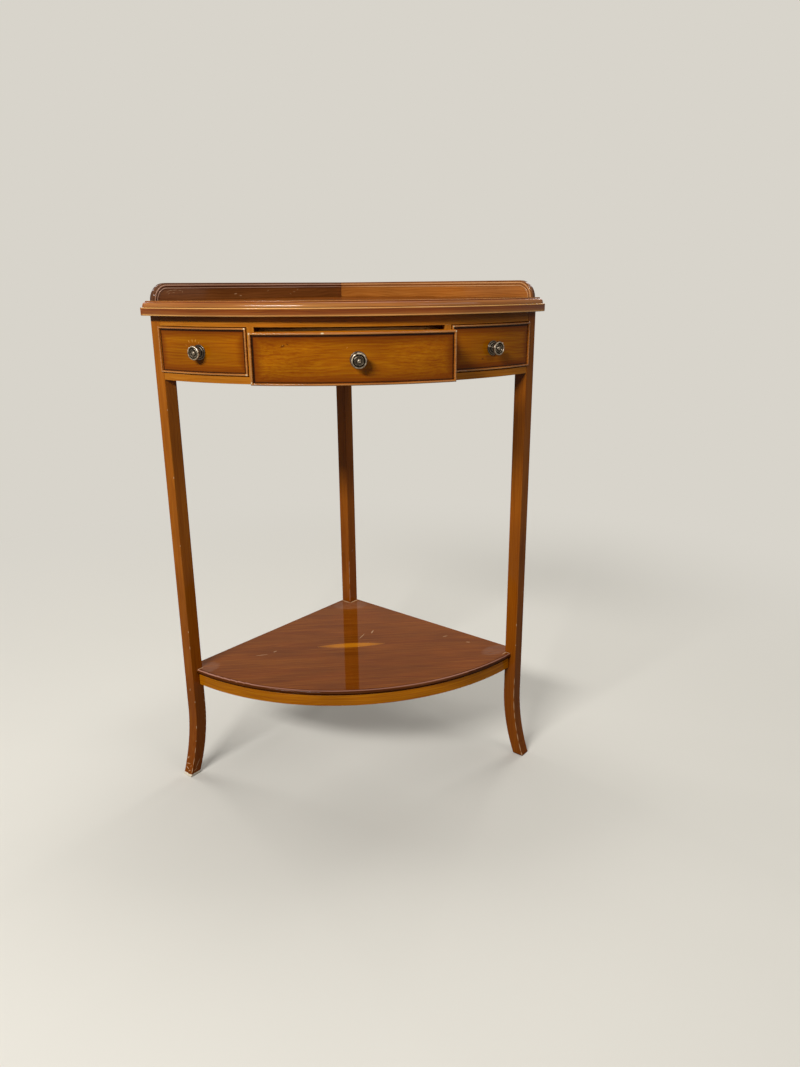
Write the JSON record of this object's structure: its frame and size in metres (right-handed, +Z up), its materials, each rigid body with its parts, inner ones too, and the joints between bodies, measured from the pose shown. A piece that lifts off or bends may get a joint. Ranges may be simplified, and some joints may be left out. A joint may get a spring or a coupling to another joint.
{
  "type": "corner lamp table",
  "caption": "Corner lamp table: bow-front quadrant top with a low gallery, a frieze with one sliding drawer between false fronts, square legs with swept front feet, and a quadrant shelf.",
  "frame": {"origin": "on the floor under the middle of the table's overall box, drawer open as stored", "axes": "+Z up, -Y to the front (the way the drawer opens), +X to the table's right as seen from the front"},
  "size_m": [0.577, 0.5021, 0.769],
  "materials": {
    "top_wood": "gloss lacquer",
    "frieze_wood": "gloss lacquer",
    "leg_wood": "gloss lacquer",
    "bead_wood": "gloss lacquer",
    "side_rail_wood": "satin lacquer",
    "shelf_wood": "gloss lacquer",
    "inlay_wood": "gloss lacquer",
    "inner_wood": "bare",
    "knob_brass": "antique, darkened",
    "steel": "plain"
  },
  "bodies": {
    "carcass": {"top_board": "top_wood", "gallery_rail_left": "top_wood", "gallery_rail_right": "top_wood", "gallery_dowels": "inner_wood", "front_leg_left": "leg_wood", "front_leg_right": "leg_wood", "rear_leg": "leg_wood", "side_rail_left": "side_rail_wood", "side_rail_right": "side_rail_wood", "frieze_top_rail": "frieze_wood", "frieze_bottom_rail": "frieze_wood", "muntin_left": "frieze_wood", "muntin_right": "frieze_wood", "false_front_left": "frieze_wood", "false_front_right": "frieze_wood", "false_beads_left": "bead_wood", "false_beads_right": "bead_wood", "drawer_runner_left": "inner_wood", "drawer_runner_right": "inner_wood", "drawer_guide_left": "inner_wood", "drawer_guide_right": "inner_wood", "kicker_left": "inner_wood", "kicker_right": "inner_wood", "drawer_stops": "inner_wood", "top_screws": "steel", "top_block_left": "inner_wood", "top_block_right": "inner_wood", "knob_left": "knob_brass", "knob_right": "knob_brass", "rose_left": "knob_brass", "rose_right": "knob_brass", "knob_nut_left": "steel", "knob_nut_right": "steel", "shelf_board": "shelf_wood", "shelf_inlay": "inlay_wood", "shelf_apron": "frieze_wood", "shelf_dowels": "inner_wood", "apron_blocks": "inner_wood"},
    "drawer": {"drawer_front": "frieze_wood", "drawer_beads": "bead_wood", "drawer_side_left": "inner_wood", "drawer_side_right": "inner_wood", "drawer_back": "inner_wood", "drawer_bottom": "inner_wood", "knob_drawer": "knob_brass", "rose_drawer": "knob_brass", "knob_nut_drawer": "steel"}
  },
  "joints": [
    {"name": "drawer_slide", "type": "slide", "parent": "carcass", "child": "drawer", "axis": [0, -1, 0], "range_m": [-0.1, 0.06]}
  ]
}
